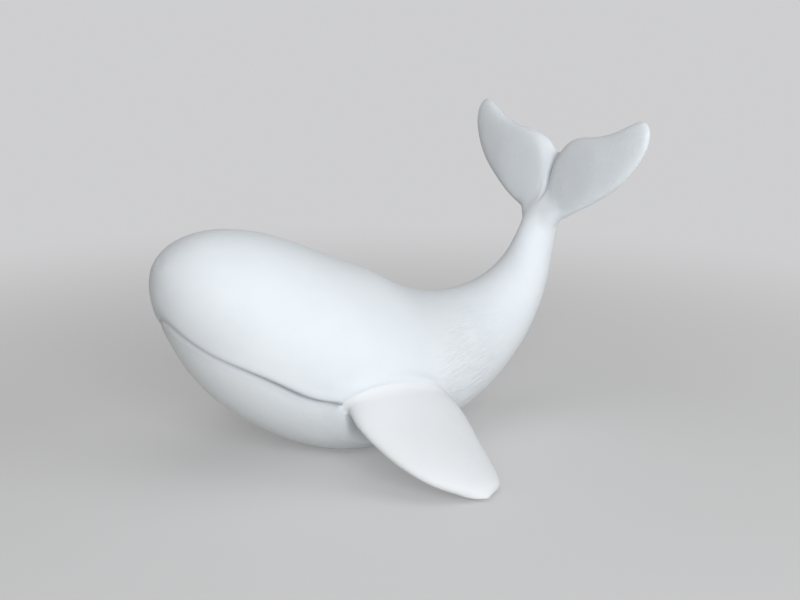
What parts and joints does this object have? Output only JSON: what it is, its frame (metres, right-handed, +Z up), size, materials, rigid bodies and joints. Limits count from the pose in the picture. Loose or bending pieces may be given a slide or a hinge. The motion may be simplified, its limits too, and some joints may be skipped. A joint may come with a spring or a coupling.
{
  "type": "whale figurine",
  "caption": "Matte white whale figurine lying on its belly, with a raised head, an upturned tail with two flukes, a mouth line and two side fins that reach the table.",
  "frame": {"origin": "middle of the belly pad's underside, on the table", "axes": "+Z up, -X towards the head, +X towards the tail, -Y towards the whale's left side"},
  "size_m": [0.2476, 0.2216, 0.1674],
  "materials": {
    "body_white": "matte, unglazed, with faint tool marks",
    "fin_white": "matte, unglazed, slightly warmer than the body",
    "pin_steel": "plain drawn bar",
    "plug_rubber": "soft matte",
    "pad_felt": "pressed felt",
    "bumper_rubber": "soft matte"
  },
  "bodies": {
    "root": {"upper_body": "body_white", "lower_jaw": "body_white", "tail_fluke": "body_white", "left_fin": "fin_white", "right_fin": "fin_white", "left_fin_dowels": "pin_steel", "right_fin_dowels": "pin_steel", "tail_rod": "pin_steel", "drain_plug": "plug_rubber", "belly_pad": "pad_felt", "left_fin_bumper": "bumper_rubber", "right_fin_bumper": "bumper_rubber"}
  },
  "joints": []
}
